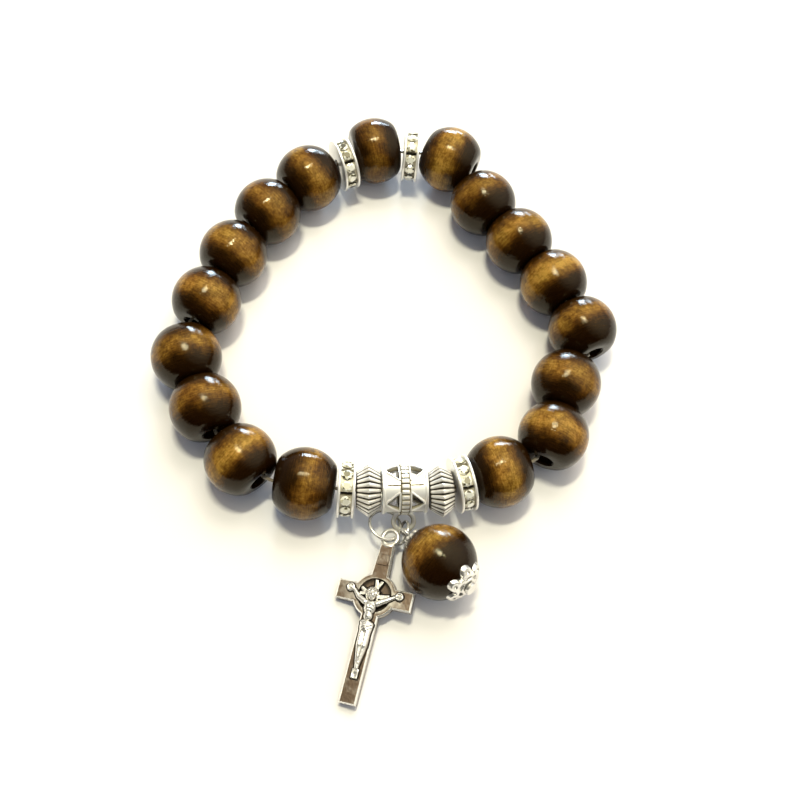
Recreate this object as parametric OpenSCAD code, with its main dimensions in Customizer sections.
// Bracelet of round wooden beads on elastic thread, lying on a flat surface.
// In front it has a silver hanger bead, a small crucifix on a jump ring and one drop bead.
// The origin is the middle of the loop, on the surface that the beads rest on.

/* [Wooden beads] */
// Diameter of a bead of the loop
bead_d = 12; // [11.6:0.1:12]
// Length of a bead along the thread, between its flat ends
bead_len = 9.9; // [9:0.1:9.9]
// Length of the short bead between the two rear rondelles
short_bead_len = 8.5; // [8:0.1:8.5]
// Diameter of the hole drilled through a bead
bead_bore = 3; // [2:0.1:3.2]
// Width of the chamfer round the mouth of a bead's hole
bore_chamfer = 0.3; // [0.1:0.05:0.4]

/* [Elastic thread] */
// Diameter of the clear elastic thread
thread_d = 0.6; // [0.5:0.1:0.8]

/* [Rhinestone rondelles] */
// Diameter of a rondelle's two flanges
rondelle_d = 9.4; // [9:0.1:9.4]
// Width of a rondelle along the thread
rondelle_w = 2.8; // [2.4:0.1:2.8]
// Thickness of one flange
flange_t = 0.45; // [0.3:0.05:0.5]
// Diameter of the hub between the flanges
rondelle_hub_d = 5.4; // [5:0.1:5.6]
// Diameter of one cut stone at its girdle
stone_d = 1.6; // [1.4:0.05:1.7]
// Angle between the two stones of a pair
stone_pitch = 27; // [26:1:28]

/* [Ribbed spacers] */
// Diameter at the sharp middle edge of a spacer
spacer_d = 8.7; // [8:0.1:8.7]
// Diameter at the ends of a spacer
spacer_end_d = 5.9; // [5:0.1:6]
// Width of a spacer along the thread
spacer_w = 3.9; // [3.5:0.1:3.9]
// Number of ribs round a spacer
spacer_ribs = 26; // [20:1:30]
// Depth of the grooves at the middle edge
spacer_groove = 0.45; // [0.2:0.05:0.6]

/* [Hanger bead] */
// Length of the hanger bead along the thread
hanger_len = 7.4; // [7:0.1:7.4]
// Outer diameter of the hanger bead's wall
hanger_d = 7.5; // [7:0.1:7.5]
// Inner diameter of the hanger bead
hanger_bore = 6.1; // [5:0.1:6.3]
// Outer diameter of its end rims
rim_d = 7.9; // [7.6:0.1:7.9]
// Width of its raised milled band
band_w = 1.4; // [1:0.1:1.6]
// Thickness of the wire of its fixed ring
hanger_ring_wire = 0.8; // [0.7:0.05:0.8]
// Angle of the fixed ring below level
hanger_ring_drop = 40; // [38:1:41]

/* [Jump rings] */
// Thickness of the jump rings' wire
jump_wire = 0.5; // [0.4:0.02:0.52]

/* [Crucifix] */
// Thickness of the plate
cross_t = 1.5; // [1.2:0.1:1.6]
// Distance from the middle of the medallion to the tip of an arm
arm_len = 6.3; // [5.5:0.1:6.3]
// Width of an arm
arm_w = 3.2; // [2.8:0.1:3.4]
// Distance from the middle of the medallion to the foot
stem_len = 17.4; // [15:0.1:18]
// Width of the stem
stem_w = 2.8; // [2.4:0.1:3]
// Radius of the medallion
medal_r = 3.6; // [3.2:0.1:3.8]
// Depth of the sunk ground of the medallion
medal_sink = 0.35; // [0.2:0.05:0.5]
// Distance from the middle of the medallion to the middle of the eye
eye_rise = 9.8; // [9.7:0.05:9.85]

/* [Drop] */
// Diameter of the drop bead
drop_d = 12.2; // [12:0.1:12.4]
// Length of the drop bead along its pin
drop_len = 11.6; // [11:0.1:11.6]
// Diameter of the hole through the drop bead
drop_bore = 1.6; // [1.2:0.1:2]
// Thickness of the head pin's wire
pin_d = 0.7; // [0.5:0.05:0.8]

/* [Hidden] */
$fn = 48;
axis_z = bead_d / 2;
join = 0.05;
rondelle_bore = 2.4;
spacer_bore = 2.6;

// Where each piece of the string lies, clockwise from the rear:
// kind, x, y and the direction of its bore in degrees.
KIND = 0;
X = 1;
Y = 2;
TURN = 3;
string = [
    ["short bead", -9.1, 33, 22],
    ["rondelle", -2.35, 33.35, 5],
    ["bead", 5, 34, -18],
    ["bead", 12.35, 25.75, -50],
    ["bead", 19.85, 19, -50],
    ["bead", 26.95, 11.65, -53],
    ["bead", 33, 3.25, -60],
    ["bead", 31.2, -7.7, 75],
    ["bead", 30.05, -17.75, 76],
    ["bead", 21.9, -25.9, 28],
    ["rondelle", 16.05, -29.1, 24],
    ["spacer", 12.65, -30.95, 16],
    ["hanger", 6.75, -31.8, 12],
    ["spacer", 1.05, -33, 10],
    ["rondelle", -2.5, -33.5, 7],
    ["bead", -9.3, -33.8, 1],
    ["bead", -20.4, -31.6, -40],
    ["bead", -28.05, -23.7, -63],
    ["bead", -33.25, -15.15, -63],
    ["bead", -32.35, -3.95, 75],
    ["bead", -29.85, 6.15, 68],
    ["bead", -25.7, 15.9, 56],
    ["bead", -19.9, 24.5, 49],
    ["rondelle", -14.05, 28.9, 31],
];

function is_bead(row) = row[KIND] == "bead" || row[KIND] == "short bead";
beads = [for (row = string) if (is_bead(row)) row];
rondelles = [for (row = string) if (row[KIND] == "rondelle") row];
spacers = [for (row = string) if (row[KIND] == "spacer") row];
hanger_row = [for (row = string) if (row[KIND] == "hanger") row][0];

function two_digits(n) = str(n < 10 ? "0" : "", n);
bead_names = [for (i = [1 : len(beads)]) str("bead_", two_digits(i))];
frame_names = [for (i = [1 : len(rondelles)]) str("rondelle_frame_", i)];
stone_names = [for (i = [1 : len(rondelles)]) str("rondelle_stones_", i)];
spacer_names = [for (i = [1 : len(spacers)]) str("ribbed_spacer_", i)];

// Places and directions of the hanging pieces
ring_r = 1.65;
ring_reach = 5.6;
cross_place = [5.15, -49.2, 2.45];
cross_yaw = -4.7;
cross_pitch = 4.3;
cross_roll = -14;
eye_r = 1.25;
eye_wire = 0.76;
drop_place = [14.25, -42.9, drop_d / 2];
drop_yaw = -36;
drop_rise = 17;
pin_loop_r = 0.95;
pin_loop_turn = 90;
cross_ring = [[4.78, -37.33, 2.85], 21, 50, 2.7];
drop_ring = [[7.85, -37.93, 2.29], 70, 179, 1.9];

// Moves children, built along +X, to a row's place in the string.
module on_string(row) {
    translate([row[X], row[Y], axis_z]) rotate([0, 0, row[TURN]]) children();
}

// A straight round bar along X, centred.
module bar_x(d, len) {
    rotate([0, 90, 0]) cylinder(d = d, h = len, center = true);
}

// A ring of round wire in the XY plane.
module wire_ring(r, wire) {
    rotate_extrude() translate([r, 0]) circle(d = wire);
}

// A turned bead with two flat ends, its bore along X.
module turned_bead(d, len, bore) {
    edge = bore / 2 + bore_chamfer;
    rotate([0, 90, 0]) rotate_extrude() difference() {
        intersection() {
            circle(d = d);
            translate([bore / 2, -len / 2]) square([d, len]);
        }
        for (side = [-1, 1])
            polygon([[bore / 2 - join, side * (len / 2 + join)],
                     [edge + join, side * (len / 2 + join)],
                     [bore / 2 - join, side * (len / 2 - bore_chamfer - join)]]);
    }
}

module loop_bead(row) {
    len = row[KIND] == "short bead" ? short_bead_len : bead_len;
    color("#4a2b10") on_string(row) turned_bead(bead_d, len, bead_bore);
}

// Angles of a rondelle's stones: six pairs round the hub.
stone_angles = [for (pair = [0 : 5], side = [-1, 1]) 60 * pair + side * stone_pitch / 2];

// Two flanges on a hub, with a bar between each pair of stones and the next.
module rondelle_frame(row) {
    channel = rondelle_w - 2 * flange_t;
    bar_in = rondelle_hub_d / 2 - join;
    bar_out = rondelle_d / 2 - 0.3;
    color("silver") on_string(row) difference() {
        union() {
            bar_x(rondelle_hub_d, rondelle_w - join);
            for (side = [-1, 1])
                translate([side * (rondelle_w - flange_t) / 2, 0, 0]) bar_x(rondelle_d, flange_t);
            for (pair = [0 : 5])
                rotate([60 * pair + 30, 0, 0]) translate([0, 0, (bar_in + bar_out) / 2])
                    cube([channel + 2 * join, 0.5, bar_out - bar_in], center = true);
        }
        bar_x(rondelle_bore, rondelle_w + 1);
    }
}

// One cut stone, table up: octagonal crown, girdle and pavilion.
module cut_stone(d) {
    crown = 0.25 * d;
    girdle = 0.08;
    pavilion = 0.5 * d;
    translate([0, 0, girdle]) cylinder(d1 = d, d2 = 0.6 * d, h = crown, $fn = 8);
    cylinder(d = d, h = girdle, $fn = 8);
    translate([0, 0, -pavilion]) cylinder(d1 = 0.1, d2 = d, h = pavilion, $fn = 8);
}

module rondelle_stones(row) {
    girdle_r = rondelle_d / 2 - 0.55;
    color("#dfe3e6") on_string(row) for (angle = stone_angles)
        rotate([angle, 0, 0]) translate([0, 0, girdle_r]) cut_stone(stone_d);
}

// Outline of a spacer's middle edge: flat-topped ribs and grooves in between.
function rib_outline(ribs, r, groove) = [
    for (i = [0 : ribs - 1], step = [0 : 3])
        let (
            part = [0.2, 0.8, 0.95, 1.05][step],
            radius = step < 2 ? r : r - groove,
            angle = 360 * (i + part) / ribs
        )
        radius * [cos(angle), sin(angle)]
];

// Two ribbed cones meeting at a sharp middle edge.
module ribbed_spacer(row) {
    color("#a9a9a4") on_string(row) difference() {
        for (side = [-1, 1])
            rotate([0, 90 * side, 0])
                linear_extrude(height = spacer_w / 2, scale = spacer_end_d / spacer_d)
                    polygon(rib_outline(spacer_ribs, spacer_d / 2, spacer_groove));
        bar_x(spacer_bore, spacer_w + 1);
    }
}

// A window of the hanger bead, cut through its wall: a triangle that points to the end rim.
module hanger_window(side) {
    base = band_w / 2 + 0.1;
    tip = hanger_len / 2 - 0.75;
    half = 1.75;
    linear_extrude(height = hanger_d)
        polygon([[side * base, -half], [side * tip, -0.15], [side * tip, 0.15], [side * base, half]]);
}

module hanger_bead() {
    row = hanger_row;
    panel_phase = 12;
    color("silver") on_string(row) {
        difference() {
            union() {
                bar_x(hanger_d, hanger_len - 0.2);
                for (side = [-1, 1])
                    translate([side * (hanger_len - 0.6) / 2, 0, 0]) bar_x(rim_d, 0.6);
                rotate([0, 90, 0]) linear_extrude(height = band_w, center = true)
                    polygon(rib_outline(28, 8.3 / 2, 0.2));
            }
            bar_x(hanger_bore, hanger_len + 1);
            for (side = [-1, 1], quarter = [0 : 3])
                rotate([90 * quarter + 45 + panel_phase, 0, 0]) hanger_window(side);
        }
        rotate([hanger_ring_drop, 0, 0]) translate([0, -ring_reach, 0])
            wire_ring(ring_r, hanger_ring_wire);
    }
}

// A jump ring from its row: middle, tilt, downhill direction and wire radius.
module jump_ring(ring) {
    color("silver") translate(ring[0]) rotate([0, 0, ring[2]]) rotate([0, ring[1], 0])
        wire_ring(ring[3], jump_wire);
}

// Outline of the crucifix: stem, arms, medallion and the neck below the eye.
module cross_outline() {
    neck_top = eye_rise - eye_r;
    translate([-stem_w / 2, -stem_len]) square([stem_w, stem_len]);
    translate([-arm_len, -arm_w / 2]) square([2 * arm_len, arm_w]);
    circle(r = medal_r);
    polygon([[-1.6, 0], [1.6, 0], [1.15, neck_top], [-1.15, neck_top]]);
}

// A limb of the relief figure between two points, with a rounded end at each.
module limb(a, b, d1, d2) {
    hull() {
        translate([a[0], a[1], 0]) sphere(d = d1, $fn = 16);
        translate([b[0], b[1], 0]) sphere(d = d2, $fn = 16);
    }
}

// The corpus in raised relief: arms out to the hands, trunk, cloth, legs and foot block.
module relief_figure() {
    hand_l = [-3.95, 0.35];
    hand_r = [3.85, 0.45];
    hip = [-0.15, -5.0];
    limb([-0.9, -1.2], hand_l, 1.1, 0.7);
    limb([0.7, -1.15], hand_r, 1.1, 0.7);
    for (hand = [hand_l, hand_r])
        translate([hand[0], hand[1], 0]) cylinder(d = 1.35, h = 0.45, $fn = 12);
    limb([-0.1, -1.6], [-0.2, -3.7], 2.0, 1.4);
    limb([-0.2, -4.3], hip, 1.9, 2.0);
    for (side = [-1, 1])
        limb([0.4 * side - 0.1, -6.0], [0.2 * side - 0.05, -10.9], 1.15, 0.65);
    translate([-0.6, -13.3, 0]) cube([1.1, 2.2, 0.45]);
    translate([-0.35, 0.1, 0.2]) sphere(d = 2, $fn = 16);
}

// A plain flared cross for the ground of the medallion.
module flared_cross() {
    for (quarter = [0 : 3])
        rotate([0, 0, 90 * quarter])
            polygon([[-0.15, 0.3], [0.15, 0.3], [0.6, 2.2], [-0.6, 2.2]]);
    circle(r = 0.5);
}

module crucifix() {
    top = cross_t / 2;
    color("#6f655e") translate(cross_place)
        rotate([0, 0, cross_yaw]) rotate([cross_pitch, 0, 0]) rotate([0, cross_roll, 0]) {
            difference() {
                union() {
                    linear_extrude(height = cross_t, center = true) cross_outline();
                    translate([0, eye_rise, 0]) wire_ring(eye_r, eye_wire);
                }
                translate([0, 0, top - medal_sink]) cylinder(r = medal_r - 0.85, h = 1);
            }
            translate([0, 0, top - medal_sink - join]) linear_extrude(height = medal_sink)
                rotate([0, 0, -8]) flared_cross();
            intersection() {
                translate([0, 0, top - 0.1]) relief_figure();
                translate([-5.5, -16, top - 0.35]) cube([11, 20, 2.5]);
            }
        }
}

// Moves children, built along +X towards the lower cap, to the place of the drop.
module on_drop() {
    translate(drop_place) rotate([0, 0, drop_yaw]) rotate([0, -drop_rise, 0]) children();
}

module drop_bead() {
    color("#3d220d") on_drop() turned_bead(drop_d, drop_len, drop_bore);
}

// A filigree cap: a curved shell cut to petals, with a hole in each petal
// and one for the pin.
module petal_cap(petals, petal_at, petal_r, centre_hole) {
    shell_in = drop_d / 2 + 0.1;
    difference() {
        intersection() {
            difference() {
                sphere(r = shell_in + 0.4);
                sphere(r = shell_in);
            }
            rotate([0, 90, 0]) linear_extrude(height = drop_d) {
                circle(r = petal_at);
                for (i = [0 : petals - 1])
                    rotate([0, 0, 360 * i / petals]) translate([petal_at, 0]) circle(r = petal_r);
            }
        }
        rotate([0, 90, 0]) linear_extrude(height = drop_d) {
            circle(d = centre_hole);
            for (i = [0 : petals - 1])
                rotate([0, 0, 360 * i / petals]) translate([petal_at, 0]) circle(r = petal_r * 0.5);
        }
    }
}

module drop_cap_bottom() {
    color("silver") on_drop() petal_cap(6, 2.6, 1.05, pin_d + 0.2);
}

module drop_cap_top() {
    color("silver") on_drop() mirror([1, 0, 0]) petal_cap(5, 1.35, 0.7, 1.35);
}

// The pin through the drop: flat head below, shaft, and a loop above.
module head_pin() {
    head_at = drop_d / 2 + 0.6;
    loop_at = 7.7;
    color("silver") on_drop() {
        translate([head_at + 0.25, 0, 0]) bar_x(2.2, 0.5);
        shaft = head_at + loop_at - pin_loop_r;
        translate([head_at - shaft / 2 + join, 0, 0]) bar_x(pin_d, shaft + 2 * join);
        translate([-loop_at, 0, 0]) rotate([pin_loop_turn, 0, 0]) wire_ring(pin_loop_r, pin_d);
    }
}

// Half the length of a piece along the thread, and how far the thread can lie off its axis.
function half_len(row) =
    row[KIND] == "bead" ? bead_len / 2 :
    row[KIND] == "short bead" ? short_bead_len / 2 :
    row[KIND] == "rondelle" ? rondelle_w / 2 :
    row[KIND] == "spacer" ? spacer_w / 2 : hanger_len / 2;
function slack(row) =
    (is_bead(row) ? bead_bore : row[KIND] == "rondelle" ? rondelle_bore :
     row[KIND] == "spacer" ? spacer_bore : hanger_bore) / 2 - thread_d / 2 - 0.12;

// The piece after or before number i, and the way the thread goes through piece i.
function around(i, step) = (i + step + len(string)) % len(string);
function heading(i) =
    let (
        next = string[around(i, 1)],
        before = string[around(i, -1)],
        along = [cos(string[i][TURN]), sin(string[i][TURN])],
        onward = [next[X] - before[X], next[Y] - before[Y]]
    )
    (along * onward >= 0 ? 1 : -1) * along;
function face(i, end) = [string[i][X], string[i][Y]] + end * half_len(string[i]) * heading(i);

// Where the thread crosses a piece's end face: drawn towards the neighbour's mouth.
function mouth_point(i, end) =
    let (
        here = face(i, end),
        middle = (here + face(around(i, end), -end)) / 2,
        side = [-heading(i)[1], heading(i)[0]],
        reach = slack(string[i])
    )
    here + min(max((middle - here) * side, -reach), reach) * side;
thread_points = [
    for (i = [0 : len(string) - 1])
        let (out = mouth_point(i, 1), in = mouth_point(around(i, 1), -1))
        for (point = norm(out - in) < 1.1 * thread_d ? [(out + in) / 2] : [out, in])
            point
];

// A closed tube with eight sides along flat points at the height of the bores.
module closed_tube(points, d, sides) {
    n = len(points);
    verts = [
        for (i = [0 : n - 1])
            let (
                way = points[(i + 1) % n] - points[(i + n - 1) % n],
                out = [way[1], -way[0]] / norm(way)
            )
            for (k = [0 : sides - 1])
                let (angle = 360 * k / sides)
                [points[i][0] + d / 2 * cos(angle) * out[0],
                 points[i][1] + d / 2 * cos(angle) * out[1],
                 axis_z + d / 2 * sin(angle)]
    ];
    faces = [
        for (i = [0 : n - 1], k = [0 : sides - 1])
            let (j = (i + 1) % n, m = (k + 1) % sides)
            [i * sides + k, i * sides + m, j * sides + m, j * sides + k]
    ];
    polyhedron(verts, faces);
}

module elastic_thread() {
    color("#e8e4da") closed_tube(thread_points, thread_d, 8);
}

for (i = [0 : len(beads) - 1])
    loop_bead(beads[i]);
for (i = [0 : len(rondelles) - 1])
    rondelle_frame(rondelles[i]);
for (i = [0 : len(rondelles) - 1])
    rondelle_stones(rondelles[i]);
for (i = [0 : len(spacers) - 1])
    ribbed_spacer(spacers[i]);
elastic_thread();
hanger_bead();
jump_ring(cross_ring);  // jump_ring_cross
jump_ring(drop_ring);  // jump_ring_drop
crucifix();
drop_bead();
drop_cap_bottom();
drop_cap_top();
head_pin();
